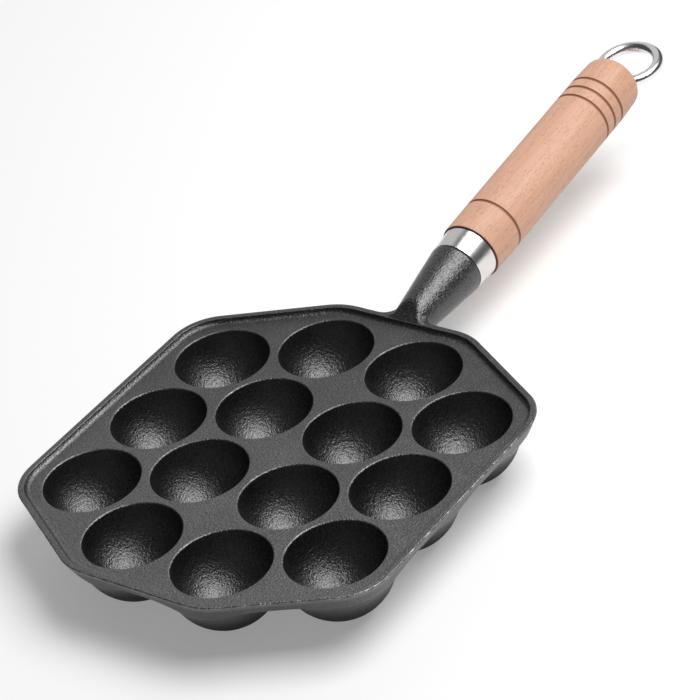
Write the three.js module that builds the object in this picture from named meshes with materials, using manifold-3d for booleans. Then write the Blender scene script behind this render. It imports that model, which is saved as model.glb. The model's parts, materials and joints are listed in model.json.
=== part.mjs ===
// A cast-iron takoyaki pan with fourteen cups, a turned beech grip and a hanging eye.
// Millimetres, +Z up. The pan stands on the flats under its cups, with its cups facing up
// and its handle towards +X. The origin lies on the table under the middle of the whole length.

import * as THREE from 'three';
import { mergeVertices } from 'three/addons/utils/BufferGeometryUtils.js';
import Module from 'manifold-3d';

const wasm = await Module();
wasm.setup();

// Fits shared by all pieces
const fitGap = 0.3; // left between faces that meet
const overrun = 2; // how far a cutter runs past what it cuts
const rootOverlap = 1; // how far one cast form runs into the next

// Cups, in rows along X
const cupRadius = 20; // at the mouth
const cupDraft = 0.2; // narrowing from the mouth down to where the half-round bottom starts
const cupStraightDepth = 3.7;
const cupWall = 3;
const cupPitch = 43.6; // along a row
const middleRowSpacing = 44.24; // between the two rows of four
const outerRowSpacing = 38.23; // from a row of four to the row of three beside it
const restFlatDepth = 0.5; // ground off the bottom of each cup, where the pan stands

// Tray
const plateThickness = 4.8;
const rimHeight = 2.1; // above the plate
const rimBand = 2.7; // width of the rim's flat top
const rimInnerDraft = 0.6;
const rimEdgeBevel = 0.5;
const wallDraft = 3; // how far the outer wall leans in on its way down
const endMargin = 7.9; // from the last cup of a row of four to the tray's end
const sideMargin = 8.85; // from the rows of three to the tray's side
const chamferMargin = 9.1; // from the outermost cups to the slanted edges
const chamferTurn = Math.PI / 6; // between the X axis and the slanted edges' normals
const endCornerRadius = 27;
const sideCornerRadius = 22;

// Neck of the casting; its length runs along the handle's axis from the tray's end
const handleRise = THREE.MathUtils.degToRad(6.45);
const neckAxisDrop = 1.8; // of the axis under the plate's top, where it leaves the tray
const neckLength = 38.6;
const neckRootRadius = 7.8;
const neckEndRadius = 12.4;
const neckShoulderRadius = 3;
const keelLength = 14; // of the neck's root under the tray
const webFillet = 6; // between the neck's sides and the tray's end
const rampAngle = THREE.MathUtils.degToRad(34); // slope from the rim up to the neck's crest
const spigotLength = 3.4; // of the neck's end inside the ferrule
const threadDepth = 25; // of the rod in the neck

// Ferrule
const ferruleLength = 10.3;
const ferruleFrontRadius = 12.15;
const ferruleRearRadius = 12.95;
const ferruleWall = 0.9;
const ferruleLap = 0.2; // of its front edge over the neck's shoulder

// Grip
const gripLength = 122;
const gripFrontRadius = 13.3;
const gripBellyRadius = 14;
const gripRearRadius = 13.45;
const gripNoseLength = 6; // inside the ferrule
const gripFrontRound = 0.5;
const gripEndRound = 4;
const grooveWidth = 1.5;
const grooveDepth = 0.5;
const frontGrooveSetback = 18; // from the grip's front
const rearGrooveSetback = 16.8; // of the last groove from the grip's rear
const rearGroovePitch = 6.2;
const rearGrooveCount = 3;

// Hanging eye and its rod
const ringRadius = 13.4; // to the middle of the wire
const wireRadius = 2.25;
const ringBedDepth = 3.85; // how deep the eye beds into the grip's end
const rodRadius = 3;

// Facets
const cupSegments = 24;
const cupSteps = 5;
const bulgeSteps = 4;
const neckSegments = 28;
const shoulderSteps = 3;
const cornerStep = THREE.MathUtils.degToRad(10);
const filletSteps = 4;
const gripSegments = 32;
const gripEndSteps = 4;
const ringSegments = 32;
const wireSegments = 10;
const rodSegments = 16;

// Materials
const castIron = new THREE.MeshStandardMaterial({ color: 0x3a3a3b, roughness: 0.62, metalness: 0.4 });
const polishedSteel = new THREE.MeshStandardMaterial({ color: 0xd2d2d0, roughness: 0.18, metalness: 1 });
const beech = new THREE.MeshStandardMaterial({ color: 0xe2b392, roughness: 0.6, metalness: 0 });
const chrome = new THREE.MeshStandardMaterial({ color: 0xd8dadb, roughness: 0.08, metalness: 1 });

// Places worked out from the sizes above
const plateHeight = cupStraightDepth + cupRadius - cupDraft + cupWall - restFlatDepth;
const rowSpan = middleRowSpacing / 2 + outerRowSpacing;
const rows = [
  { cups: 3, y: -rowSpan },
  { cups: 4, y: -middleRowSpacing / 2 },
  { cups: 4, y: middleRowSpacing / 2 },
  { cups: 3, y: rowSpan },
];
const cupPlaces = rows.flatMap(({ cups, y }) =>
  Array.from({ length: cups }, (_, i) => new THREE.Vector2((i - (cups - 1) / 2) * cupPitch, y)));
const longestRow = Math.max(...rows.map(({ cups }) => cups));
const trayHalfLength = (longestRow - 1) / 2 * cupPitch + cupRadius + endMargin;
const trayHalfWidth = rowSpan + cupRadius + sideMargin;
const chamferNormal = new THREE.Vector2(Math.cos(chamferTurn), Math.sin(chamferTurn));
const chamferReach = Math.max(...cupPlaces.map((place) => place.dot(chamferNormal)))
  + cupRadius + chamferMargin;
const ferruleStart = neckLength - ferruleLap;
const ferruleEnd = ferruleStart + ferruleLength;
const spigotRadius = ferruleFrontRadius - ferruleWall - fitGap;
const gripStart = ferruleEnd + fitGap;
const gripEnd = gripStart + gripLength;
const ringCentre = gripEnd + ringRadius + wireRadius - ringBedDepth;
const handleTip = trayHalfLength + ringCentre * Math.cos(handleRise)
  + ringRadius * Math.cos(handleRise) + wireRadius;
const boreRadius = rodRadius + fitGap;
const rodStart = neckLength + spigotLength - threadDepth;

// Turns a closed geometry into a solid for joining and cutting
function solid(geometry) {
  const plain = geometry.index ? geometry.clone() : geometry;
  plain.deleteAttribute('normal');
  plain.deleteAttribute('uv');
  const merged = mergeVertices(plain);
  const corners = merged.index.array;
  const kept = [];
  for (let i = 0; i < corners.length; i += 3) {
    const [a, b, c] = corners.slice(i, i + 3);
    if (a !== b && b !== c && c !== a) kept.push(a, b, c);
  }
  return new wasm.Manifold(new wasm.Mesh({
    numProp: 3,
    vertProperties: new Float32Array(merged.attributes.position.array),
    triVerts: new Uint32Array(kept),
  }));
}

// Turns a finished solid back into a geometry
function geometryOf(body) {
  const mesh = body.getMesh();
  const geometry = new THREE.BufferGeometry();
  geometry.setAttribute('position', new THREE.BufferAttribute(mesh.vertProperties, 3));
  geometry.setIndex(new THREE.BufferAttribute(mesh.triVerts, 1));
  geometry.computeVertexNormals();
  return geometry;
}

// Turned body about Z from [radius, height] pairs, which start and end on the axis
function turned(profile, segments) {
  const points = profile.map(([radius, height]) => new THREE.Vector2(radius, height));
  return new THREE.LatheGeometry(points, segments).rotateX(Math.PI / 2);
}

// [radius, height] pairs along an arc about a point of the profile
function arcPairs(radius, height, size, from, to, steps) {
  return Array.from({ length: steps + 1 }, (_, i) => {
    const turn = from + (to - from) * i / steps;
    return [radius + size * Math.cos(turn), height + size * Math.sin(turn)];
  });
}

// Places a form made about the local Z axis onto the handle's axis
const handlePlace = new THREE.Matrix4()
  .makeRotationY(Math.PI / 2 - handleRise)
  .setPosition(trayHalfLength, 0, -neckAxisDrop);

// Eight-sided outline with rounded corners, set in by the given distance
function trayOutline(inset) {
  const edges = [];
  for (const turn of [0, Math.PI]) {
    edges.push({ turn, reach: trayHalfLength });
    edges.push({ turn: turn + chamferTurn, reach: chamferReach });
    edges.push({ turn: turn + Math.PI / 2, reach: trayHalfWidth });
    edges.push({ turn: turn + Math.PI - chamferTurn, reach: chamferReach });
  }
  const points = [];
  edges.forEach((edge, i) => {
    const next = edges[(i + 1) % edges.length];
    const nextTurn = next.turn > edge.turn ? next.turn : next.turn + 2 * Math.PI;
    const size = i % 4 === 0 || i % 4 === 3 ? endCornerRadius : sideCornerRadius;
    const first = edge.reach - size;
    const second = next.reach - size;
    const along = (second - first * Math.cos(nextTurn - edge.turn)) / Math.sin(nextTurn - edge.turn);
    const centreX = first * Math.cos(edge.turn) - along * Math.sin(edge.turn);
    const centreY = first * Math.sin(edge.turn) + along * Math.cos(edge.turn);
    const steps = Math.round((nextTurn - edge.turn) / cornerStep);
    points.push(...arcPairs(centreX, centreY, size - inset, edge.turn, nextTurn, steps));
  });
  return points;
}

// Closed stack of tray outlines, from [inset, height] pairs listed upwards
function trayStack(levels) {
  const positions = [];
  const indices = [];
  const count = trayOutline(0).length;
  for (const [inset, height] of levels) {
    for (const [x, y] of trayOutline(inset)) positions.push(x, y, height);
  }
  positions.push(0, 0, levels[0][1], 0, 0, levels[levels.length - 1][1]);
  const bottom = levels.length * count;
  for (let i = 0; i < count; i += 1) {
    const j = (i + 1) % count;
    for (let level = 0; level < levels.length - 1; level += 1) {
      const low = level * count;
      const high = low + count;
      indices.push(low + i, low + j, high + j, low + i, high + j, high + i);
    }
    const top = (levels.length - 1) * count;
    indices.push(bottom, j, i, bottom + 1, top + i, top + j);
  }
  const geometry = new THREE.BufferGeometry();
  geometry.setAttribute('position', new THREE.Float32BufferAttribute(positions, 3));
  geometry.setIndex(indices);
  return geometry;
}

// Body of the tray, with the rim still solid right across
function trayBody() {
  return trayStack([
    [wallDraft, -plateThickness],
    [0, rimHeight - rimEdgeBevel],
    [rimEdgeBevel, rimHeight],
  ]);
}

// Room inside the rim, above the plate
function trayRoom() {
  return trayStack([
    [rimBand + rimInnerDraft, 0],
    [rimBand, rimHeight],
    [rimBand, rimHeight + neckEndRadius],
  ]);
}

// Inside of one cup, run past the plate's top
function cupHollow() {
  const size = cupRadius - cupDraft;
  const bowl = arcPairs(0, -cupStraightDepth, size, -Math.PI / 2, 0, cupSteps);
  return turned([
    ...bowl,
    [cupRadius, 0],
    [cupRadius, overrun],
    [0, overrun],
  ], cupSegments);
}

// Outside of one cup, ground flat below
function cupBulge() {
  const size = cupRadius - cupDraft + cupWall;
  const flatTurn = Math.asin((size - restFlatDepth) / size);
  const bowl = arcPairs(0, -cupStraightDepth, size, -flatTurn, 0, bulgeSteps);
  return turned([
    [0, restFlatDepth - size - cupStraightDepth],
    ...bowl,
    [size, -rootOverlap],
    [0, -rootOverlap],
  ], cupSegments);
}

// Neck with its keel under the tray, about the handle's axis
function neckBody() {
  const slope = (neckEndRadius - neckRootRadius) / neckLength;
  const keelRadius = neckRootRadius - slope * keelLength;
  const flank = neckLength - neckShoulderRadius;
  const shoulder = arcPairs(neckRootRadius + slope * flank - neckShoulderRadius, flank,
    neckShoulderRadius, 0, Math.PI / 2, shoulderSteps)
    .filter(([radius]) => radius > spigotRadius);
  return turned([
    [0, -keelLength - keelRadius / 2],
    [keelRadius * Math.SQRT1_2, -keelLength - keelRadius / 3],
    [keelRadius, -keelLength],
    ...shoulder,
    [spigotRadius, neckLength],
    [spigotRadius, neckLength + spigotLength],
    [0, neckLength + spigotLength],
  ], neckSegments).applyMatrix4(handlePlace);
}

// Everything above the slope from the rim's inner edge up to the neck's crest
function rampCutter() {
  const length = neckLength;
  const height = neckLength;
  const box = new THREE.BoxGeometry(length + overrun, 2 * neckLength, height);
  box.translate((length - overrun) / 2, 0, height / 2);
  box.rotateY(-rampAngle);
  return box.translate(trayHalfLength - rimBand, 0, rimHeight);
}

// Flat web that fills the corners between the neck and the tray's end
function neckWeb() {
  const root = trayHalfLength;
  const wide = neckRootRadius + webFillet;
  const shape = new THREE.Shape();
  shape.moveTo(root - rimBand, -wide);
  shape.lineTo(root, -wide);
  shape.absarc(root + webFillet, -wide, webFillet, Math.PI, Math.PI / 2, true);
  shape.absarc(root + webFillet, wide, webFillet, -Math.PI / 2, -Math.PI, true);
  shape.lineTo(root - rimBand, wide);
  const depth = rimHeight + plateThickness;
  const web = new THREE.ExtrudeGeometry(shape, { depth, bevelEnabled: false, curveSegments: filletSteps });
  return web.translate(0, 0, -plateThickness);
}

// Hole for the rod in the neck
function neckBore() {
  const start = rodStart - fitGap;
  const end = neckLength + spigotLength + overrun;
  return turned([
    [0, start],
    [boreRadius, start],
    [boreRadius, end],
    [0, end],
  ], rodSegments).applyMatrix4(handlePlace);
}

function panCasting() {
  let body = solid(neckBody())
    .subtract(solid(rampCutter()))
    .add(solid(neckWeb()))
    .add(solid(trayBody()));
  const bulge = solid(cupBulge());
  for (const { x, y } of cupPlaces) body = body.add(bulge.translate([x, y, 0]));
  body = body.subtract(solid(trayRoom())).subtract(solid(neckBore()));
  const hollow = solid(cupHollow());
  for (const { x, y } of cupPlaces) body = body.subtract(hollow.translate([x, y, 0]));
  return geometryOf(body);
}

// Steel collar, slightly wider towards the wood
function handleFerrule() {
  return turned([
    [ferruleFrontRadius - ferruleWall, ferruleStart],
    [ferruleFrontRadius, ferruleStart],
    [ferruleRearRadius, ferruleEnd],
    [ferruleRearRadius - ferruleWall, ferruleEnd],
    [ferruleFrontRadius - ferruleWall, ferruleStart],
  ], gripSegments);
}

// Half-round groove turned into the grip at a given height
function groovePairs(radius, height) {
  return [
    [radius, height - grooveWidth / 2],
    [radius - grooveDepth, height],
    [radius, height + grooveWidth / 2],
  ];
}

// The hanging ring's wire, grown by the given amount, about the ring's own centre on the axis
function ringWire(grown) {
  const ring = new THREE.TorusGeometry(ringRadius, wireRadius + grown, wireSegments, ringSegments);
  return ring.rotateY(Math.PI / 2).translate(0, 0, ringCentre);
}

function woodenGrip() {
  const noseRadius = (height) => {
    const share = (height - ferruleStart) / ferruleLength;
    const outside = THREE.MathUtils.lerp(ferruleFrontRadius, ferruleRearRadius, share);
    return outside - ferruleWall - fitGap;
  };
  const noseStart = gripStart - gripNoseLength;
  const rearGrooves = Array.from({ length: rearGrooveCount }, (_, i) =>
    gripEnd - rearGrooveSetback - (rearGrooveCount - 1 - i) * rearGroovePitch);
  const frontGroove = gripStart + frontGrooveSetback;
  const body = turned([
    [0, noseStart],
    [noseRadius(noseStart), noseStart],
    [noseRadius(gripStart), gripStart],
    [gripFrontRadius - gripFrontRound, gripStart],
    [gripFrontRadius, gripStart + gripFrontRound],
    ...groovePairs(gripBellyRadius, frontGroove),
    ...rearGrooves.flatMap((height) => groovePairs(gripBellyRadius, height)),
    ...arcPairs(gripRearRadius - gripEndRound, gripEnd - gripEndRound, gripEndRound, 0, Math.PI / 2,
      gripEndSteps),
    [0, gripEnd],
  ], gripSegments);
  const bore = turned([
    [0, noseStart - overrun],
    [boreRadius, noseStart - overrun],
    [boreRadius, gripEnd + overrun],
    [0, gripEnd + overrun],
  ], rodSegments);
  return geometryOf(solid(body).subtract(solid(bore)).subtract(solid(ringWire(fitGap))));
}

// Ring and rod in one piece; the rod screws into the neck and clamps the grip
function hangingEyeRod() {
  const rodEnd = ringCentre - ringRadius;
  const rod = turned([
    [0, rodStart],
    [rodRadius, rodStart],
    [rodRadius, rodEnd],
    [0, rodEnd],
  ], rodSegments);
  return geometryOf(solid(ringWire(0)).add(solid(rod)));
}

function piece(name, geometry, material) {
  const mesh = new THREE.Mesh(geometry, material);
  mesh.name = name;
  return mesh;
}

const handle = new THREE.Group();
handle.applyMatrix4(handlePlace);
handle.add(piece('handle_ferrule', handleFerrule(), polishedSteel));
handle.add(piece('wooden_grip', woodenGrip(), beech));
handle.add(piece('hanging_eye_rod', hangingEyeRod(), chrome));

const pan = new THREE.Group();
pan.add(piece('pan_casting', panCasting(), castIron));
pan.add(handle);
pan.position.set((trayHalfLength - handleTip) / 2, 0, plateHeight);

const takoyakiPan = new THREE.Group();
takoyakiPan.add(pan);

export default takoyakiPan;
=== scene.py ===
# A cast-iron takoyaki pan: fourteen cups in an eight-sided tray, a conical neck, a steel ferrule,
# a turned beech grip and a hanging eye. The dictionaries hold millimetres and degrees.

import json
import math

import bmesh
import bpy
import numpy as np
from mathutils import Matrix, Vector


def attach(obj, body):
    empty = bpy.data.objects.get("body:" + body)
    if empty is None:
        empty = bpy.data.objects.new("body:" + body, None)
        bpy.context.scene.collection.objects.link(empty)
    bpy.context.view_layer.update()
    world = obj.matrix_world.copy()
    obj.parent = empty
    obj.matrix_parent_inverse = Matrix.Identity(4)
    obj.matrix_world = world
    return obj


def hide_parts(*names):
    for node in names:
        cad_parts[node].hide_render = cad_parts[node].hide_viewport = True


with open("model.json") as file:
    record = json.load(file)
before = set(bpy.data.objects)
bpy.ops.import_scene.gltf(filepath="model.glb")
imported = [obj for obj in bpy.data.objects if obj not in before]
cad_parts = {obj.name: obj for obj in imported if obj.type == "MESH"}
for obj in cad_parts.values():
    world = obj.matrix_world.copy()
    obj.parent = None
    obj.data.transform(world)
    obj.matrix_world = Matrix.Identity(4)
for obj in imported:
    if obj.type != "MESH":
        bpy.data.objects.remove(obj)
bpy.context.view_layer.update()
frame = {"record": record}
mm = 0.001
tiny = 0.001  # keeps divisors and roots off zero

# Where the pan and its handle lie in the frame. Heights of the tray are measured from the plate's
# top, and distances along the handle from the point where its axis leaves the tray.

mounts = {m["name"]: np.array(m["pos_m"]) / mm for m in frame["record"]["mounts"]}
plateCentre = mounts["plate_top"]
standHeight = plateCentre[2]

handle = {
    "trayEnd": 93.3,  # from the plate's centre
    "axisDrop": 1.8,  # of the axis under the plate's top at the tray's end
    "rise": 6.45,
}
handleStart = plateCentre + np.array([handle["trayEnd"], 0, -handle["axisDrop"]])
rise = math.radians(handle["rise"])
along = np.array([math.cos(rise), 0, math.sin(rise)])
upward = np.array([-math.sin(rise), 0, math.cos(rise)])
leftward = np.array([0.0, 1.0, 0.0])


# Camera at the photograph's viewing angle

view = {
    "place": (-718.56, -709.86, 719.68),  # from the plate's centre
    "azimuth": -47.47,  # of the way back to the camera, from -Y towards +X
    "elevation": 33.99,
    "roll": -12.84,
    "lens": 161.51,
    "sensor": 36.0,
    "clipEnd": 50,  # metres
}


def makeCamera():
    azimuth, elevation, roll = (math.radians(view[k]) for k in ("azimuth", "elevation", "roll"))
    back = Vector((
        math.sin(azimuth) * math.cos(elevation),
        -math.cos(azimuth) * math.cos(elevation),
        math.sin(elevation),
    ))
    right = Vector((0, 0, 1)).cross(back).normalized()
    turn = Matrix((right, back.cross(right), back)).transposed().to_4x4()
    camera = bpy.data.objects.new("camera", bpy.data.cameras.new("camera"))
    camera.matrix_world = (
        Matrix.Translation(Vector(plateCentre + view["place"]) * mm) @ turn
        @ Matrix.Rotation(roll, 4, "Z")
    )
    camera.data.lens = view["lens"]
    camera.data.sensor_width = view["sensor"]
    camera.data.clip_end = view["clipEnd"]
    bpy.context.scene.collection.objects.link(camera)
    bpy.context.scene.camera = camera
    print("camera made")


# Mesh making

def meshPiece(name, points, faces):
    mesh = bpy.data.meshes.new(name)
    mesh.from_pydata(np.asarray(points) * mm, [], [list(f) for f in faces])
    piece = bpy.data.objects.new(name, mesh)
    bpy.context.scene.collection.objects.link(piece)
    return piece


def gridFaces(rings, count, first=0, closed=False):
    # Quads between neighbouring rings of count points. A closed grid joins its last ring to its
    # first.
    row = np.arange(rings if closed else rings - 1)[:, None] * count
    nextRow = (row + count) % (rings * count)
    spot = np.arange(count)[None, :]
    nextSpot = (spot + 1) % count
    quads = np.stack([row + spot, row + nextSpot, nextRow + nextSpot, nextRow + spot], -1)
    return quads.reshape(-1, 4) + first


def fanFaces(pole, ring):
    # Triangles from a pole to each pair of neighbours on a ring
    return np.stack([np.full(len(ring), pole), ring, np.roll(ring, -1)], -1)


def tidyMesh(piece, merge=0.0005):
    # Joins doubled points and turns all faces outwards
    work = bmesh.new()
    work.from_mesh(piece.data)
    bmesh.ops.remove_doubles(work, verts=work.verts, dist=merge * mm)
    bmesh.ops.dissolve_degenerate(work, edges=work.edges, dist=merge * mm)
    bmesh.ops.recalc_face_normals(work, faces=work.faces)
    work.to_mesh(piece.data)
    work.free()
    return piece


def applyModifiers(piece):
    bpy.context.view_layer.objects.active = piece
    for o in bpy.context.selected_objects:
        o.select_set(False)
    piece.select_set(True)
    for name in [m.name for m in piece.modifiers]:
        bpy.ops.object.modifier_apply(modifier=name)
    return piece


def combine(piece, other, operation):
    # Joins or cuts two closed meshes and deletes the second
    joint = piece.modifiers.new(operation, "BOOLEAN")
    joint.operation = operation
    joint.solver = "MANIFOLD"
    joint.object = other
    applyModifiers(piece)
    bpy.data.objects.remove(other)
    return piece


def smooth(piece, sharpAngle=32):
    # Smooth shading with sharp edges past an angle, weighted so that large flat faces stay flat
    piece.data.polygons.foreach_set("use_smooth", np.ones(len(piece.data.polygons), bool))
    piece.data.set_sharp_from_angle(angle=math.radians(sharpAngle))
    weighted = piece.modifiers.new("weighted", "WEIGHTED_NORMAL")
    weighted.mode = "FACE_AREA"
    weighted.keep_sharp = True
    weighted.weight = 50
    return applyModifiers(piece)


def pointsOf(piece):
    flat = np.empty(len(piece.data.vertices) * 3)
    piece.data.vertices.foreach_get("co", flat)
    return flat.reshape(-1, 3) / mm


def rounded(corners, radii, step=12):
    # A path with each corner replaced by an arc, which starts and ends one tangent length from it:
    # the radius times the tangent of half the turn. Zero radii keep their corners sharp, and step
    # is the turn between an arc's points.
    corners = np.array(corners, float)
    path = [corners[:1]]
    for before, corner, after, radius in zip(corners, corners[1:], corners[2:], radii):
        arrive = (corner - before) / np.linalg.norm(corner - before)
        leave = (after - corner) / np.linalg.norm(after - corner)
        turn = math.atan2(arrive[0] * leave[1] - arrive[1] * leave[0], arrive @ leave)
        side = math.copysign(1, turn) * np.array([-arrive[1], arrive[0]])
        start = corner - arrive * radius * math.tan(abs(turn) / 2)
        steps = max(1, round(abs(math.degrees(turn)) / step)) if radius else 0
        bend = np.linspace(0, abs(turn), steps + 1)[:, None]
        path.append(start + radius * (np.sin(bend) * arrive + (1 - np.cos(bend)) * side))
    path.append(corners[-1:])
    return np.concatenate(path)


def filledIn(profile, at, count):
    # The profile with points spread evenly between point number at and the one before it, so that
    # the span has count points with its two ends
    share = np.linspace(0, 1, count)[1:-1, None]
    added = profile[at - 1] + (profile[at] - profile[at - 1]) * share
    return np.concatenate([profile[:at], added, profile[at:]])


def turnedPiece(name, profile, segments, closed=False):
    # Profile of (radius, distance) pairs carried round the handle's axis: the distance along it
    # plus the radius times the cosine upwards and the sine to the left. An open profile starts and
    # ends on the axis, and a closed one returns to its start.
    profile = np.asarray(profile, float)
    middle = profile if closed else profile[1:-1]
    angle = np.linspace(0, 2 * math.pi, segments, endpoint=False)
    outward = np.cos(angle)[:, None] * upward + np.sin(angle)[:, None] * leftward
    rings = handleStart + middle[:, 1, None, None] * along + middle[:, 0, None, None] * outward
    points = rings.reshape(-1, 3)
    faces = [gridFaces(len(middle), segments, closed=closed)]
    if not closed:
        ends = handleStart + profile[[0, -1], 1, None] * along
        points = np.concatenate([points, ends])
        last = len(points) - 1
        faces += [fanFaces(last - 1, np.arange(segments))]
        faces += [fanFaces(last, np.arange(segments) + segments * (len(middle) - 1))]
    return tidyMesh(meshPiece(name, points, [f for group in faces for f in group]))


# Casting

cup = {
    "radius": 20.0,
    "draft": 0.2,
    "straight": 3.7,  # height of the drafted wall over the half-round bottom
    "lip": 0.7,
    "wall": 3.0,
    "pitch": 43.6,  # between neighbours in a row
    "middleRow": 22.12,  # from the pan's middle plane
    "outerRow": 60.35,
    "restFlat": 0.5,  # height cut off the outer spheres, so that the pan stands on flats
    "blend": 8.0,  # width over which the cups' outsides flow into each other and the plate
    "bowlRings": 16,
    "lipStep": 22,
    "plateShares": (0.3, 0.65, 1.0),  # of the way from the lip to the cell's edge, one ring each
    "steepReach": 4.5,  # most that the steep part of a bulge reaches past the cup's radius
    "steepEase": 6.0,
    "steepRings": 15,
    "outerRings": 5,
    "searchBelow": 4.0,  # where the search for the underside starts, under the flats and over it
    "searchAbove": 0.5,
    "halvings": 26,
}
tray = {
    "halfLength": 93.3,
    "halfWidth": 89.2,
    "chamferReach": 96.96,  # from the plate's centre to the slanting sides
    "chamferTurn": 30.0,
    "endCorner": 27.0,
    "sideCorner": 22.0,
    "plate": 4.8,
    "rim": 2.1,
    "band": 2.7,
    "innerDraft": 0.6,
    "wallDraft": 3.5,
    "wallTop": 1.6,  # height at which the leaning wall reaches the full length
    "lowerRound": 2.8,
    "outerRound": 0.5,
    "innerRound": 0.45,
    "plateFillet": 2.3,
    "underRun": 3.0,  # run of the section's ends past its corners, under the plate and on it
    "plateRun": 4.0,
    "sectionStep": 20,
    "sinkPower": 1.3,  # how late the wall, on its way down, gives way to the bulges
    "spacing": 2.6,  # between points along edges
}
neck = {
    "length": 38.3,
    "rootRadius": 7.8,
    "endRadius": 12.4,
    "endRound": 1.35,
    "keel": 14.0,  # how far the neck's rounded inner end lies inside the tray
    "keelRound": 0.8,  # of its radius
    "spigotRadius": 10.95,
    "spigot": 3.4,
    "boreRadius": 3.3,
    "boreStart": 16.7,
    "rampAngle": 34.0,
    "rampBlend": 0.5,
    "rampLowest": 0.5,
    "leastFacing": 0.02,
    "foot": 3.5,  # radius of the fillet that joins the stem's sides to the rim's top
    "footStart": -0.5,
    "footLength": 6.0,
    "rings": 46,
    "segments": 128,
    "reach": 80.0,  # size of the cutter that keeps the stem out of the tray
}
web = {
    "fillet": 6.0,
    "overlap": 0.3,  # with the rim's band
    "bendPoints": 12,
    "edgeSegments": 3,
    "sharpest": 60,  # turn past which an edge is rounded
}


def cupCentres():
    rows = [(-cup["outerRow"], 3), (-cup["middleRow"], 4), (cup["middleRow"], 4),
            (cup["outerRow"], 3)]
    return [((i - (n - 1) / 2) * cup["pitch"], y) for y, n in rows for i in range(n)]


def innerCorners():
    # The corners where three cups' cells meet lie equally far from the three cups. Returned with
    # the two heights over the middle line that they lie at.
    half, near, far = cup["pitch"] / 2, cup["middleRow"], cup["outerRow"]
    low = (far**2 - near**2 - half**2) / (2 * (far - near))
    high = near + far - low
    side = [(2 * half, 0), (2 * half, low), (half, high), (-half, high), (-2 * half, low)]
    return np.array(side + [(-x, -y) for x, y in side]), low, high


def trayEdge():
    # Points round the tray's outline with their outward normals. Straight sides are split where
    # a line from an inner corner meets them squarely, and those points' places are returned too.
    # An arc's centre lies on both sides' lines moved inwards by its radius.
    corners, _, _ = innerCorners()
    facing = [[0], [1], [2, 3], [4], [5], [6], [7, 8], [9]]  # inner corners that meet each side
    turns = np.radians([0, tray["chamferTurn"], 90, 180 - tray["chamferTurn"]])
    turns = np.concatenate([turns, turns + math.pi])
    slanting, endCorner, sideCorner = tray["chamferReach"], tray["endCorner"], tray["sideCorner"]
    reaches = np.tile([tray["halfLength"], slanting, tray["halfWidth"], slanting], 2)
    sizes = np.tile([endCorner, sideCorner, sideCorner, endCorner], 2)
    arcs = []
    for i in range(8):
        a, b = turns[i], turns[(i + 1) % 8] + (2 * math.pi if i == 7 else 0)
        normal = np.array([math.cos(a), math.sin(a)])
        tangent = np.array([-math.sin(a), math.cos(a)])
        first, second = reaches[i] - sizes[i], reaches[(i + 1) % 8] - sizes[i]
        side = (second - first * math.cos(b - a)) / math.sin(b - a)
        arcs.append((a, b, first * normal + side * tangent, side))
    points, normals, marks = [], [], []
    total = 0
    for i, (a, b, centre, side) in enumerate(arcs):
        normal = np.array([math.cos(a), math.sin(a)])
        tangent = np.array([-normal[1], normal[0]])
        start = float(arcs[i - 1][2] @ tangent)
        stops = [start, *(float(corners[k] @ tangent) for k in facing[i]), side]
        for left, right in zip(stops, stops[1:]):
            count = max(1, round((right - left) / tray["spacing"]))
            t = left + (right - left) * np.arange(count) / count
            points.append(reaches[i] * normal + t[:, None] * tangent)
            normals.append(np.tile(normal, (count, 1)))
            total += count
            if right is not stops[-1]:
                marks.append(total)
        count = round(sizes[i] * (b - a) / tray["spacing"]) + 1
        angle = a + (b - a) * np.arange(count) / count
        outward = np.stack([np.cos(angle), np.sin(angle)], -1)
        points.append(centre + sizes[i] * outward)
        normals.append(outward)
        total += count
    return np.concatenate(points), np.concatenate(normals), marks


def cellLoops(edge, normals, marks, inset):
    # Each cup's cell as a closed loop of points. The ten outer cells have their run of the
    # outline, moved inwards, and then their inner corners; the four inner ones have corners alone.
    corners, low, high = innerCorners()
    outline = edge - inset * normals
    total = len(outline)

    def joined(path):
        spans = []
        for a, b in zip(path, path[1:]):
            count = max(1, round(np.linalg.norm(b - a) / tray["spacing"]))
            spans.append(a + (b - a) * np.arange(count)[:, None] / count)
        return np.concatenate(spans)

    loops = []
    for k in range(10):
        first, last = marks[k], marks[(k + 1) % 10]
        run = outline[np.arange(first, last + (total if last < first else 0)) % total]
        path = [outline[last % total], corners[(k + 1) % 10]]
        if k in (2, 7):
            path.append(np.array([0, low if k == 2 else -low]))
        loops.append(np.concatenate([run, joined(path + [corners[k], outline[first]])]))
    half, pitch = cup["pitch"] / 2, cup["pitch"]
    cell = np.array([(0, 0), (pitch, 0), (pitch, low), (half, high), (0, low), (0, 0)])
    for flip in (1, -1):
        loops.append(joined(flip * cell))
        mirrored = (flip * cell[:-1] * [-1, 1])[::-1]
        loops.append(joined(np.concatenate([mirrored, mirrored[:1]])))
    return loops


def cellRings(loops, surface):
    # Rays from each cup's centre to its cell's loop, with surface giving their radii and heights
    centres = np.array(cupCentres())
    for loop in loops:
        centre = centres[np.argmin(np.linalg.norm(centres - loop.mean(0), axis=1))]
        reach = np.linalg.norm(loop - centre, axis=1)
        ray = (loop - centre) / reach[:, None]
        radii, heights = surface(reach, centre, ray)
        flat = centre + radii[:, :, None] * ray
        yield np.concatenate([flat, heights[:, :, None]], -1), centre


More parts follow.
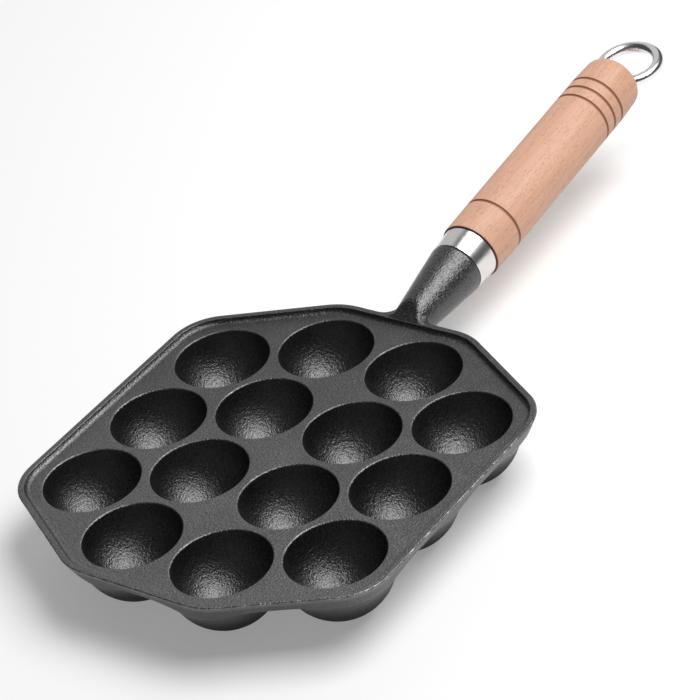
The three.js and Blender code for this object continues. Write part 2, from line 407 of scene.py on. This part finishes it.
def hollowSurface(reach, centre, ray):
    # Half-round bottom, drafted wall and rounded lip, then the flat plate out to the cell's edge
    size = cup["radius"] - cup["draft"]
    turn = np.linspace(-math.pi / 2, 0, cup["bowlRings"] + 1)[1:]
    bowl = np.stack([size * np.cos(turn), size * np.sin(turn) - cup["straight"]], -1)
    mouth = [bowl[-1], (cup["radius"], 0), (cup["radius"] + 1, 0)]
    lip = rounded(mouth, [cup["lip"]], cup["lipStep"])[1:-1]
    profile = np.concatenate([bowl, lip])
    start = profile[-1, 0]
    plate = start + (reach - start) * np.array(cup["plateShares"])[:, None]
    radii = np.concatenate([np.tile(profile[:, :1], len(reach)), plate])
    heights = np.concatenate([np.tile(profile[:, 1:], len(reach)), np.zeros_like(plate)])
    return radii, heights


def underside(x, y):
    # Height of the surface under the plate: where the distances to the plate's underside and to
    # the cups' outer spheres, blended into each other, come to zero. Each blend takes the lesser
    # of two distances less a quarter of the width times the square of how near they are to each
    # other. The height is found by halving, and the flats cut it off.
    def blended(z):
        value = -tray["plate"] - z
        for cx, cy in cupCentres():
            size = cup["radius"] - cup["draft"] + cup["wall"]
            ball = np.sqrt((x - cx) ** 2 + (y - cy) ** 2 + (z + cup["straight"]) ** 2) - size
            near = np.maximum(cup["blend"] - np.abs(value - ball), 0) / cup["blend"]
            value = np.minimum(value, ball) - near**2 * cup["blend"] / 4
        return value

    low = np.full(np.shape(x), -standHeight - cup["searchBelow"])
    high = np.full(np.shape(x), -tray["plate"] + cup["searchAbove"])
    for _ in range(cup["halvings"]):
        middle = (low + high) / 2
        inside = blended(middle) < 0
        high = np.where(inside, middle, high)
        low = np.where(inside, low, middle)
    return np.maximum(high, -standHeight)


def bulgeSurface(reach, centre, ray):
    # Where the bulge is steep, the rings' radii are the steep part's reach times the sine of even
    # steps from the flat's edge to a right angle. That reach is the cup's radius plus a hyperbolic
    # tangent of how far away the cell's edge is. From there the rings are evenly spaced.
    size = cup["radius"] - cup["draft"] + cup["wall"]
    flat = math.sqrt(size**2 - (size - cup["restFlat"]) ** 2)
    away = (reach - cup["radius"]) / cup["steepEase"]
    steep = cup["radius"] + cup["steepReach"] * np.tanh(away)
    share = np.linspace(0, 1, cup["steepRings"])[:, None]
    start = np.arcsin(flat / steep)
    inner = np.sin(start + (math.pi / 2 - start) * share) * steep
    outer = steep + (reach - steep) * np.linspace(0, 1, cup["outerRings"] + 1)[1:, None]
    radii = np.concatenate([inner, outer])
    heights = underside(centre[0] + radii * ray[:, 0], centre[1] + radii * ray[:, 1])
    return radii, heights


def rimRings(edge, normals):
    # Section of the wall and rim, as (inset, height), carried round the outline. The wall's points
    # are lowered to the underside by their share of the way down, so that it flows into the
    # bulges beside it.
    height = tray["wallTop"] + tray["plate"]
    lean = tray["wallDraft"] / height
    section = rounded(
        [
            (tray["wallDraft"] + tray["underRun"], -tray["plate"]),
            (tray["wallDraft"], -tray["plate"]),
            (-lean * (tray["rim"] - tray["wallTop"]), tray["rim"]),
            (tray["band"], tray["rim"]),
            (tray["band"] + tray["innerDraft"], 0),
            (tray["band"] + tray["plateRun"], 0),
        ],
        [tray["lowerRound"], tray["outerRound"], tray["innerRound"], tray["plateFillet"]],
        tray["sectionStep"],
    )[1:-1]
    flat = edge[None] - section[:, 0, None, None] * normals[None]
    heights = np.tile(section[:, 1, None], len(edge))
    sunk = underside(flat[:, :, 0], flat[:, :, 1]) + tray["plate"]
    share = np.clip((tray["wallTop"] - section[:, 1]) / height, 0, 1)
    share[int(np.argmax(section[:, 1])):] = 0
    heights = heights + sunk * (share ** tray["sinkPower"])[:, None]
    return np.concatenate([flat, heights[:, :, None]], -1), section


def makeTray():
    # The rim's rings, then each cell's rings inside its cup and under it, closed by their poles
    edge, normals, marks = trayEdge()
    rings, section = rimRings(edge, normals)
    grids = [(rings, None)]
    insides = (section[-1, 0], hollowSurface, -cup["straight"] - cup["radius"] + cup["draft"])
    undersides = (section[0, 0], bulgeSurface, -standHeight)
    for inset, surface, lowest in (insides, undersides):
        loops = cellLoops(edge, normals, marks, inset)
        grids += [(grid, [*centre, lowest]) for grid, centre in cellRings(loops, surface)]
    points, faces, first = [], [], 0
    for grid, pole in grids:
        count = grid.shape[1]
        points.append(grid.reshape(-1, 3))
        faces.append(gridFaces(len(grid), count, first))
        end = first + len(grid) * count
        if pole:
            points.append([pole])
            faces.append(fanFaces(end, np.arange(count) + first))
            end += 1
        first = end
    everything = np.concatenate(points) + plateCentre
    return tidyMesh(meshPiece("pan_casting_fine", everything, [f for g in faces for f in g]))


def slab(name, corners):
    # Closed block from four bottom corners and four top corners
    faces = [(0, 3, 2, 1), (4, 5, 6, 7), (0, 1, 5, 4), (1, 2, 6, 5), (2, 3, 7, 6), (3, 0, 4, 7)]
    return tidyMesh(meshPiece(name, corners, faces))


def neckProfile():
    # A cone from the rounded inner end to the ferrule's shoulder, then the spigot and the bore
    slope = (neck["endRadius"] - neck["rootRadius"]) / neck["length"]
    keelRadius = neck["rootRadius"] - slope * neck["keel"]
    end = neck["length"] + neck["spigot"]
    profile = rounded(
        [
            (0, -neck["keel"] - keelRadius / 2),
            (keelRadius, -neck["keel"] - keelRadius / 2),
            (keelRadius + slope * keelRadius / 2, -neck["keel"] + keelRadius / 2),
            (neck["endRadius"], neck["length"]),
            (neck["spigotRadius"], neck["length"]),
            (neck["spigotRadius"], end),
            (neck["boreRadius"], end),
            (neck["boreRadius"], neck["boreStart"]),
            (0, neck["boreStart"]),
        ],
        [keelRadius * neck["keelRound"], 0, neck["endRound"], 0, 0, 0, 0],
    )
    return filledIn(profile, int(np.argmax(profile[:, 1] > 0)), neck["rings"])


def makeNeck():
    # The turned profile's radii give way softly to the sloping ramp above them. A point's distance
    # to the ramp along its own direction is the ramp's height over the axis over a cosine. Just
    # above the rim, the sides spread outwards in a quarter round, which fades along the neck.
    stem = turnedPiece("neck", neckProfile(), neck["segments"])
    points = pointsOf(stem) - handleStart
    distance = points @ along
    up, left = points @ upward, points @ leftward
    radius = np.hypot(up, left)
    apart = np.maximum(radius, tiny)
    rimTop = tray["rim"] + handle["axisDrop"]

    fade = np.clip((distance - neck["footStart"]) / neck["footLength"], 0, 1)
    foot = np.maximum(neck["foot"] * (1 - fade) ** 2, tiny)
    over = points[:, 2] - rimTop
    spread = foot - np.sqrt(foot**2 - np.clip(foot - over, 0, foot) ** 2)
    outside = (distance > -neck["foot"]) & (radius > neck["boreRadius"] + 1)
    spread = np.where(outside, spread, 0)

    angle = math.radians(neck["rampAngle"])
    square = np.array([-math.sin(angle), 0, math.cos(angle)])
    start = np.array([tray["innerRound"] - tray["band"], 0, rimTop])
    height = np.maximum(start @ square - distance * (along @ square), neck["rampLowest"])
    ramp = height / (np.maximum(up / apart, neck["leastFacing"]) * (upward @ square))
    near = np.maximum(neck["rampBlend"] - np.abs(radius - ramp), 0) / neck["rampBlend"]
    reduced = np.minimum(radius, ramp) - near**2 * neck["rampBlend"] / 4
    share = np.where(radius < neck["boreRadius"] + 0.01, 1, reduced / apart)

    points += (share - 1)[:, None] * (up[:, None] * upward + left[:, None] * leftward)
    points += (spread * np.sign(left))[:, None] * leftward
    stem.data.vertices.foreach_set("co", ((points + handleStart) * mm).ravel())
    stem.data.update()
    return stem


def makeWeb():
    # Flat web whose sides sweep out to the tray's end in quarter rounds
    root, wide = tray["halfLength"], neck["rootRadius"] + web["fillet"]
    bend = np.linspace(0, math.pi / 2, web["bendPoints"])
    fillet = np.stack([
        root + web["fillet"] * (1 - np.cos(bend)),
        -wide + web["fillet"] * np.sin(bend),
    ], -1)
    half = np.concatenate([[(root - tray["band"] + web["overlap"], -wide)], fillet])
    outline = np.concatenate([half, (half * [1, -1])[::-1]])
    count = len(outline)
    heights = (-tray["plate"], tray["rim"])
    points = np.concatenate([np.column_stack([outline, np.full(count, z)]) for z in heights])
    faces = [list(f) for f in gridFaces(2, count)]
    faces += [list(range(count)), list(range(count, 2 * count))]
    piece = tidyMesh(meshPiece("web", points + plateCentre, faces))
    bevel = piece.modifiers.new("bevel", "BEVEL")
    bevel.width = tray["outerRound"] * mm
    bevel.segments = web["edgeSegments"]
    bevel.limit_method = "ANGLE"
    bevel.angle_limit = math.radians(web["sharpest"])
    return tidyMesh(applyModifiers(piece))


def storeInset(casting):
    # Each point's distance inwards from the tray's outline, from the nearest point of the outline.
    # The neck counts as lying inside the rim's band, so that its surface gets no edge wear or
    # painted highlight.
    edge, normals, _ = trayEdge()
    points = pointsOf(casting)[:, :2] - plateCentre[:2]
    squares = (points**2).sum(1)[:, None] - 2 * points @ edge.T + (edge**2).sum(1)
    nearest = squares.argmin(1)
    inset = ((edge[nearest] - points) * normals[nearest]).sum(1)
    nearStem = (points[:, 0] > tray["halfLength"] / 2) & (np.abs(points[:, 1]) < neck["keel"])
    inset[nearStem] = tray["band"] + inset[nearStem].clip(0)
    casting.data.attributes.new("inset", "FLOAT", "POINT").data.foreach_set("value", inset)


def makeCasting():
    # The neck is kept out of the tray's room above the plate, and then joined to the tray and web
    casting = makeTray()
    stem = makeNeck()
    roomEnd = plateCentre[0] + tray["halfLength"] - tray["band"] + tray["innerRound"]
    reach = neck["reach"]
    room = [(roomEnd - reach, -reach), (roomEnd, -reach), (roomEnd, reach),
            (roomEnd - reach, reach)]
    low, high = standHeight - tray["plate"] / 2, standHeight + reach
    block = slab("room", [(*p, z) for z in (low, high) for p in room])
    casting = combine(casting, combine(stem, block, "DIFFERENCE"), "UNION")
    casting = combine(casting, makeWeb(), "UNION")
    print("casting:", len(casting.data.polygons), "faces")
    storeInset(casting)
    return smooth(casting)


# Ferrule, grip and eye, along the handle's axis

ferrule = {
    "start": 38.15,
    "length": 10.7,
    "frontRadius": 12.15,
    "rearRadius": 12.95,
    "wall": 0.9,
    "edge": 0.22,
    "rings": 12,
    "segments": 128,
}
grip = {
    "start": 49.0,
    "length": 122.8,
    "frontRadius": 13.7,
    "bellyRadius": 13.85,
    "rearRadius": 13.25,
    "nose": 6.0,
    "noseRadius": 11.25,
    "frontRound": 0.7,
    "endRound": 4.0,
    "grooveWidth": 1.4,
    "grooveDepth": 0.62,
    "grooves": (17.75, 92.5, 98.7, 104.9),  # from the grip's front
    "bellyStart": 18.0,
    "bellyEnd": 106.0,
    "bore": 3.3,
    "rings": 70,
    "grooveRings": 13,
    "grooveSpan": 0.6,  # of the width to each side, that those rings take up
    "frontRings": 5,
    "rearRings": 9,
    "segments": 128,
    "sharpAngle": 40,
}
eye = {
    "radius": 13.0,
    "wire": 2.6,
    "bed": 4.6,
    "aside": -1.0,  # of the ring's middle from the handle's axis, to the left
    "rod": 3.0,
    "rodStart": 17.0,
    "gap": 0.3,
    "ringSegments": 128,
    "wireSegments": 32,
    "rodSegments": 48,
}


def makeFerrule():
    # Closed section of a tapered tube with rounded edges, whose radius grows evenly from the front
    # to the rear, carried round the axis
    front, rear, wall, edge = (ferrule[k] for k in ("frontRadius", "rearRadius", "wall", "edge"))
    start, end = ferrule["start"], ferrule["start"] + ferrule["length"]
    profile = rounded(
        [
            (front - wall / 2, start),
            (front, start),
            (rear, end),
            (rear - wall, end),
            (front - wall, start),
            (front - wall / 2, start),
        ],
        [edge, edge, edge / 2, edge / 2],
    )[:-1]
    profile = filledIn(profile, int(np.argmax(profile[:, 1] > (start + end) / 2)), ferrule["rings"])
    return smooth(turnedPiece("handle_ferrule_fine", profile, ferrule["segments"], closed=True))


def gripRadius(distance):
    # Front radius swelling to the belly and easing off to the rear, both along a cosine. A groove
    # takes off its depth times the root of one less the square of how far out in it a point is.
    front = np.clip(distance / grip["bellyStart"], 0, 1)
    rear = np.clip((distance - grip["bellyEnd"]) / (grip["length"] - grip["bellyEnd"]), 0, 1)
    swell = (grip["bellyRadius"] - grip["frontRadius"]) * (0.5 - 0.5 * np.cos(math.pi * front))
    ease = (grip["bellyRadius"] - grip["rearRadius"]) * (0.5 - 0.5 * np.cos(math.pi * rear))
    radius = grip["frontRadius"] + swell - ease
    for groove in grip["grooves"]:
        offset = (distance - groove) / (grip["grooveWidth"] / 2)
        radius = radius - grip["grooveDepth"] * np.sqrt(np.clip(1 - offset**2, 0, 1))
    return radius


def makeGrip():
    # Section from the bore round the nose, the front edge's quarter round, the grooved side and
    # the rear edge's quarter round, carried round the axis. The ring's bed is cut into its end.
    length, start = grip["length"], grip["start"]
    size, frontSize = grip["endRound"], grip["frontRound"]
    spots = [np.linspace(frontSize, length - size, grip["rings"])]
    span = np.linspace(-grip["grooveSpan"], grip["grooveSpan"], grip["grooveRings"])
    for groove in grip["grooves"]:
        spots.append(groove + grip["grooveWidth"] * span)
    distance = np.unique(np.concatenate(spots).round(4))
    sides = np.stack([gripRadius(distance), start + distance], -1)
    bend = np.linspace(0, math.pi / 2, grip["rearRings"] + 1)[1:]
    rear = np.stack([
        grip["rearRadius"] - size + size * np.cos(bend),
        start + length - size + size * np.sin(bend),
    ], -1)
    bend = np.linspace(0, math.pi / 2, grip["frontRings"] + 1)[:-1]
    front = np.stack([
        grip["frontRadius"] - frontSize + frontSize * np.sin(bend),
        start + frontSize - frontSize * np.cos(bend),
    ], -1)
    nose = [(grip["bore"], start - grip["nose"]), (grip["noseRadius"], start - grip["nose"]),
            (grip["noseRadius"], start)]
    profile = np.concatenate([nose, front, sides, rear, [(grip["bore"], start + length)]])
    body = turnedPiece("wooden_grip_fine", profile, grip["segments"], closed=True)
    return smooth(combine(body, ringPiece("bed", eye["gap"]), "DIFFERENCE"), grip["sharpAngle"])


def ringDistance():
    # Of the ring's middle along the handle, so that its wire lies in its bed in the grip's end
    return grip["start"] + grip["length"] + eye["radius"] + eye["wire"] - eye["bed"]


def ringPiece(name, grown):
    # Wire circle carried round the ring's circle, whose plane holds the handle's axis
    around = np.linspace(0, 2 * math.pi, eye["ringSegments"], endpoint=False)[:, None, None]
    section = np.linspace(0, 2 * math.pi, eye["wireSegments"], endpoint=False)[None, :, None]
    outward = np.cos(around) * along + np.sin(around) * leftward
    size = eye["wire"] + grown
    middle = handleStart + ringDistance() * along + eye["aside"] * leftward
    points = middle + outward * (eye["radius"] + size * np.cos(section))
    points = points + upward * size * np.sin(section)
    faces = gridFaces(eye["ringSegments"], eye["wireSegments"], closed=True)
    return tidyMesh(meshPiece(name, points.reshape(-1, 3), faces))


def makeEye():
    # The ring and the rod that it is made with, which runs from the ring's wire into the neck
    rodEnd = ringDistance() - eye["radius"]
    profile = [(0, eye["rodStart"]), (eye["rod"], eye["rodStart"]), (eye["rod"], rodEnd),
               (0, rodEnd)]
    rod = turnedPiece("rod", profile, eye["rodSegments"])
    return smooth(combine(ringPiece("hanging_eye_fine", 0), rod, "UNION"))


# Shader maths as plain expressions on sockets

class Wire:
    def __init__(self, finish, socket):
        self.finish = finish
        self.socket = socket

    def math(self, operation, *values):
        return self.finish.add("Math", {"operation": operation}, dict(enumerate(values)))

    def __add__(self, other):
        return self.math("ADD", self, other)

    def __sub__(self, other):
        return self.math("SUBTRACT", self, other)

    def __rsub__(self, other):
        return self.math("SUBTRACT", other, self)

    def __mul__(self, other):
        return self.math("MULTIPLY", self, other)

    def __truediv__(self, other):
        return self.math("DIVIDE", self, other)

    def __pow__(self, other):
        return self.math("POWER", self, other)

    def __abs__(self):
        return self.math("ABSOLUTE", self)

    __radd__ = __add__
    __rmul__ = __mul__

    def least(self, other):
        return self.math("MINIMUM", self, other)

    def most(self, other):
        return self.math("MAXIMUM", self, other)

    def ramp(self, low, high):
        # 0 at low and 1 at high, eased at both ends
        return self.finish.add("MapRange", {"interpolation_type": "SMOOTHSTEP"},
                               {"Value": self, "From Min": low, "From Max": high})


class Finish:
    # One material: add makes a node, sets it up and joins its sockets
    def __init__(self, name):
        self.material = bpy.data.materials.new(name)
        self.material.use_nodes = True
        self.tree = self.material.node_tree
        self.surface = self.tree.nodes["Principled BSDF"]

    def join(self, target, value):
        if isinstance(value, Wire):
            self.tree.links.new(value.socket, target)
        else:
            target.default_value = value

    def add(self, kind, settings=None, sockets=None, output=0):
        made = self.tree.nodes.new("ShaderNode" + kind)
        for name, value in (settings or {}).items():
            setattr(made, name, value)
        for name, value in (sockets or {}).items():
            self.join(made.inputs[name], value)
        return Wire(self, made.outputs[output])

    def set(self, **values):
        for name, value in values.items():
            self.join(self.surface.inputs[name.replace("_", " ")], value)

    def place(self):
        return self.add("TexCoord", output="Object")

    def split(self, vector, axis):
        return self.add("SeparateXYZ", {}, {0: vector}, axis)

    def noise(self, vector, scale, detail=2.0, rough=0.5):
        return self.add("TexNoise", {}, {"Vector": vector, "Scale": scale, "Detail": detail,
                                         "Roughness": rough})

    def mix(self, share, first, second):
        return self.add("Mix", {"data_type": "RGBA"}, {0: share, 6: first, 7: second}, 2)

    def bump(self, height, distance):
        return self.add("Bump", {}, {"Height": height, "Distance": distance * mm, "Strength": 1.0})


# Pairs are the ends of eased ramps, in millimetres or in shares of a noise

iron = {
    "dark": (0.100, 0.100, 0.101, 1),
    "light": (0.187, 0.187, 0.188, 1),
    "paintedShade": (0.03, 0.03, 0.03, 1),  # painted shade, for the undersides that the pan shades
    "pit": (0.07, 0.07, 0.071, 1),
    "speck": (0.23, 0.23, 0.23, 1),
    # light colour of worn edges, also a painted highlight on the rounded edges
    "wornWithPaintedHighlight": (0.42, 0.42, 0.41, 1),
    "metallic": 1.0,
    "cloud": (55, 3, 0.5),  # noises: scale per metre, detail, roughness
    "sand": (1200, 2, 0.6),
    "grain": (800, 3, 0.6),
    "patch": (260, 3, 0.6),
    "cupEdge": (0.6, 1.6),  # past the cups' radius
    "cupTop": (-0.9, -0.2),  # heights over the plate's top, here and below
    "lipTop": (-0.8, -0.2),
    "rimTop": (1.2, 1.9),
    "plateTop": (-0.6, -0.1),
    # heights over which the painted shade on the undersides fades out upwards
    "under": (-18.5, -6.5),
    "plateLightFade": (-110, 110),  # painted light: the plate is lighter away from the handle, where more lamp light falls
    "cloudRange": (0.3, 0.75),
    "cloudTone": 0.4,  # shares of the light colour
    "cupTone": 0.3,
    "plateTone": 0.84,
    "leastTone": 0.03,
    "pitRange": (0.3, 0.55),
    "pits": 0.5,
    "neckPits": 0.11,  # added on the neck
    "speckRange": (0.5, 0.75),
    "specks": 0.45,
    "neckSpecks": -0.28,
    "lipPlace": 0.15,  # middle of the worn ring with its painted highlight, past the cups' radius
    "lipWidth": (0.1, 0.6),
    "lipPatch": (0.35, 0.65),
    "lipWearAndHighlight": 0.22,
    "edgePlace": 0.2,  # middle of the worn line with its painted highlight, in from the tray's outline
    "edgeWidth": (0.05, 0.45),
    "edgePatch": (0.45, 0.65),
    "edgeWearAndHighlight": 0.75,
    "roughness": 0.41,
    "sandRough": 0.25,
    "cloudRough": 0.1,
    "underRough": 0.35,
    "neckRough": -0.10,
    "peel": 0.30,  # depth of the coarse grain in the cups
    "cast": 0.16,  # on the plate and the walls
    "neck": 0.26,  # and on the neck
    "sandDepth": 0.30,  # depth of the fine grain all over
    "neckSand": 0.27,
}


def castIron():
    # Each cup's row is folded so that all its cups' centres meet at zero: four of them after
    # taking off the pitch and then half of it, three after taking off the pitch once. The nearest
    # centre then gives a point's distance in plan, and with its depth, its distance in space.
    made = Finish("cast_iron")
    place = made.place()
    x, y, z = [(made.split(place, i) - plateCentre[i] * mm) / mm for i in range(3)]
    half, pitch = cup["pitch"] / 2, cup["pitch"]
    rowOfFour = abs(abs(abs(x) - pitch) - half)
    rowOfThree = abs(x).least(abs(abs(x) - pitch))
    toFour = rowOfFour**2 + (abs(y) - cup["middleRow"]) ** 2
    toThree = rowOfThree**2 + (abs(y) - cup["outerRow"]) ** 2
    away = toFour.least(toThree)
    past = (away + (z + cup["straight"]) ** 2) ** 0.5 - cup["radius"]
    inCup = (1 - past.ramp(*iron["cupEdge"])) * (1 - z.ramp(*iron["cupTop"]))
    onNeck = x.ramp(tray["halfLength"], tray["halfLength"] + web["fillet"])
    # Painted shade: the undersides darken towards their bottoms, where the pan shades itself
    paintedUnderShade = (1 - z.ramp(*iron["under"])) * (1 - inCup)
    cloud, sand, grain, patch = [
        made.noise(place, *iron[name]) for name in ("cloud", "sand", "grain", "patch")
    ]

    # Wear on the cups' lips and along the rim's outer edge, in patches, lightened further as a
    # painted highlight
    lip = 1 - abs(away**0.5 - cup["radius"] - iron["lipPlace"]).ramp(*iron["lipWidth"])
    lip = lip * z.ramp(*iron["lipTop"])
    inset = made.add("Attribute", {"attribute_name": "inset"}, output="Fac")
    edge = 1 - abs(inset - iron["edgePlace"]).ramp(*iron["edgeWidth"])
    edge = edge * z.ramp(*iron["rimTop"])
    lipWearAndHighlight = lip * patch.ramp(*iron["lipPatch"]) * iron["lipWearAndHighlight"]
    wearAndPaintedHighlight = lipWearAndHighlight.most(edge * patch.ramp(*iron["edgePatch"]) * iron["edgeWearAndHighlight"])

    # Colour: cloudy tone with painted light on the plate, dark pits, light specks, painted shade on
    # the undersides, worn edges with painted highlights
    # Painted light on the plate's top, lighter away from the handle
    top = z.ramp(*iron["plateTop"]) * (1 - x.ramp(*iron["plateLightFade"]))
    outside = (1 - inCup) * (top * iron["plateTone"] + iron["leastTone"])
    tone = cloud.ramp(*iron["cloudRange"]) * iron["cloudTone"] + inCup * iron["cupTone"] + outside
    colour = made.mix(tone, iron["dark"], iron["light"])
    pits = (1 - sand.ramp(*iron["pitRange"])) * (onNeck * iron["neckPits"] + iron["pits"])
    specks = sand.ramp(*iron["speckRange"]) * (onNeck * iron["neckSpecks"] + iron["specks"])
    for share, name in ((pits, "pit"), (specks, "speck"), (paintedUnderShade, "paintedShade"), (wearAndPaintedHighlight, "wornWithPaintedHighlight")):
        colour = made.mix(share, colour, iron[name])

    rough = iron["roughness"] + (sand - 0.5) * iron["sandRough"]
    rough = rough + (cloud - 0.5) * iron["cloudRough"]
    rough = rough + paintedUnderShade * iron["underRough"] + onNeck * iron["neckRough"]
    coarse = inCup * (iron["peel"] - iron["cast"]) + onNeck * (iron["neck"] - iron["cast"])
    fine = onNeck * (iron["neckSand"] - iron["sandDepth"]) + iron["sandDepth"]
    height = grain * (coarse + iron["cast"]) + sand * fine
    made.set(Base_Color=colour, Roughness=rough, Normal=made.bump(height, 1.0))
    made.set(Metallic=iron["metallic"])
    return made.material


steel = {
    "ferrule": ((0.74, 0.73, 0.72, 1), 0.25),  # colour and roughness
    "ring": ((0.82, 0.82, 0.83, 1), 0.24),
    "cloud": (90, 2),  # noise: scale per metre, detail
    "cloudRange": (0.35, 0.7),
    "dimmed": 0.92,
    "wavy": 0.07,  # depth of the surface's slow waves
}


def brightSteel(name, colour, roughness):
    # Faint clouds in the colour, the roughness and the surface
    made = Finish(name)
    cloud = made.noise(made.place(), *steel["cloud"])
    dim = tuple(c * steel["dimmed"] for c in colour[:3]) + (1,)
    made.set(
        Base_Color=made.mix(cloud.ramp(*steel["cloudRange"]), colour, dim),
        Roughness=roughness * (cloud + 0.5),
        Normal=made.bump(cloud, steel["wavy"]),
        Metallic=1.0,
    )
    return made.material


wood = {
    "light": (0.83, 0.49, 0.34, 1),
    "dark": (0.68, 0.365, 0.24, 1),
    "fleck": (0.46, 0.215, 0.13, 1),
    "burnt": (0.34, 0.135, 0.075, 1),
    "front": (0.15, 0.055, 0.03, 1),  # painted shade in the gap against the ferrule, on the wood's front edge
    "fibres": (45, 1500, 3, 0.6),  # noises: scale along and across the grain, detail, roughness
    "bands": (9, 170, 3, 0.55),
    "flecks": (500, 2200, 1, 0.4),
    "groups": (70, 400, 2, 0.5),  # where the flecks are
    "fibreRange": (0.3, 0.72),
    "bandRange": (0.32, 0.7),
    "fleckRange": (0.53, 0.66),
    "groupRange": (0.34, 0.6),
    "rearShadeRange": (110, 190),  # distances along the handle, over which painted shade darkens the wood towards its rear
    "fibreTone": 0.42,  # shares of the dark colour
    "bandTone": 0.5,
    "rearShadeTone": 0.4,
    "fleckTone": 0.45,
    "burnRange": (0.45, 1.1),  # from a groove's middle
    "burnTone": 0.88,
    "frontShadeRange": (0.15, 0.6),
    "roughness": 0.48,
    "fibreRough": 0.14,
    "fibreHeight": 0.6,
    "depth": 0.05,
    "coat": 0.1,
    "coatRoughness": 0.3,
}


def beechWood():
    # Fibres, flecks and broad bands are noise that is drawn out along the handle's axis
    made = Finish("beech")
    centred = made.add("VectorMath", {"operation": "SUBTRACT"},
                       {0: made.place(), 1: tuple(handleStart * mm)})
    turned = made.add("Mapping", {}, {"Vector": centred, "Rotation": (0, rise, 0)})
    distance = made.split(turned, 0) / mm

    def drawn(lengthwise, across, detail, rough):
        spot = made.add("Mapping", {}, {"Vector": turned, "Scale": (lengthwise, across, across)})
        return made.noise(spot, 1.0, detail, rough)

    fibre, band, fleck, group = [
        drawn(*wood[name]) for name in ("fibres", "bands", "flecks", "groups")
    ]
    tone = band.ramp(*wood["bandRange"]) * wood["bandTone"]
    tone = tone + fibre.ramp(*wood["fibreRange"]) * wood["fibreTone"]
    # Painted shade: the wood darkens towards the handle's rear
    tone = tone + distance.ramp(*wood["rearShadeRange"]) * wood["rearShadeTone"]
    flecks = fleck.ramp(*wood["fleckRange"]) * group.ramp(*wood["groupRange"])
    colour = made.mix(tone, wood["light"], wood["dark"])
    colour = made.mix(flecks * wood["fleckTone"], colour, wood["fleck"])
    for groove in grip["grooves"]:
        burn = 1 - abs(distance - grip["start"] - groove).ramp(*wood["burnRange"])
        colour = made.mix(burn * wood["burnTone"], colour, wood["burnt"])
    # Painted shade where the wood's front edge meets the ferrule
    front = 1 - (distance - grip["start"]).ramp(*wood["frontShadeRange"])
    made.set(
        Base_Color=made.mix(front, colour, wood["front"]),
        Roughness=wood["roughness"] + fibre * wood["fibreRough"],
        Normal=made.bump(fibre * wood["fibreHeight"] - flecks, wood["depth"]),
        Coat_Weight=wood["coat"],
        Coat_Roughness=wood["coatRoughness"],
    )
    return made.material


# Studio

lamps = {
    # name: (direction from the pan, distance, width, height, radiance)
    "key": ((0.33, -0.35, 0.87), 1300, 1100, 880, 6.0),
    "rear": ((0.61, 0.60, 0.44), 1400, 1500, 1300, 0.62),
}
studio = {
    "world": 0.06,
    "floor": (0.80, 0.80, 0.80, 1),
    "floorRoughness": 0.9,
    "floorReach": 9000,
    "floorGlow": 0.28,
}


def paleFloor():
    # Its glow shows only to the camera and in what the metals and clear surfaces show
    reach = studio["floorReach"]
    corners = [(-reach, -reach, 0), (reach, -reach, 0), (reach, reach, 0), (-reach, reach, 0)]
    floor = meshPiece("floor", corners, [(0, 1, 2, 3)])
    made = Finish("floor")
    made.set(Base_Color=studio["floor"], Roughness=studio["floorRoughness"])
    camera, glossy, clear = [
        made.add("LightPath", output=ray)
        for ray in ("Is Camera Ray", "Is Glossy Ray", "Is Transmission Ray")
    ]
    shown = camera.most(glossy).most(clear)
    made.set(Emission_Color=made.mix(shown, (0, 0, 0, 1), (1, 1, 1, 1)))
    made.set(Emission_Strength=studio["floorGlow"])
    floor.data.materials.append(made.material)


def makeLights():
    # A lamp's power is its radiance times pi times its area
    for name, (toward, distance, width, height, radiance) in lamps.items():
        lamp = bpy.data.lights.new(name, "AREA")
        lamp.shape = "RECTANGLE"
        lamp.size, lamp.size_y = width * mm, height * mm
        lamp.energy = radiance * math.pi * lamp.size * lamp.size_y
        panel = bpy.data.objects.new(name, lamp)
        toward = Vector(toward).normalized()
        panel.location = Vector(plateCentre) * mm + toward * distance * mm
        panel.rotation_mode = "QUATERNION"
        panel.rotation_quaternion = toward.to_track_quat("Z", "Y")
        bpy.context.scene.collection.objects.link(panel)
    world = bpy.data.worlds.new("studio")
    world.use_nodes = True
    world.node_tree.nodes["Background"].inputs["Color"].default_value = (1, 1, 1, 1)
    world.node_tree.nodes["Background"].inputs["Strength"].default_value = studio["world"]
    bpy.context.scene.world = world
    print("floor and lamps made")


makeCamera()
bpy.context.scene.view_settings.view_transform = "Standard"
pieces = [
    (makeCasting(), "pan_casting", "cast_iron", castIron()),
    (makeFerrule(), "handle_ferrule", "ferrule_steel",
     brightSteel("ferrule_steel", *steel["ferrule"])),
    (makeGrip(), "wooden_grip", "beech", beechWood()),
    (makeEye(), "hanging_eye_rod", "ring_chrome", brightSteel("ring_chrome", *steel["ring"])),
]
for piece, node, slot, material in pieces:
    piece.data.materials.clear()
    piece.data.materials.append(material)
    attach(piece, "root")
    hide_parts(node)
    print(piece.name, len(piece.data.vertices), "points")
paleFloor()
makeLights()
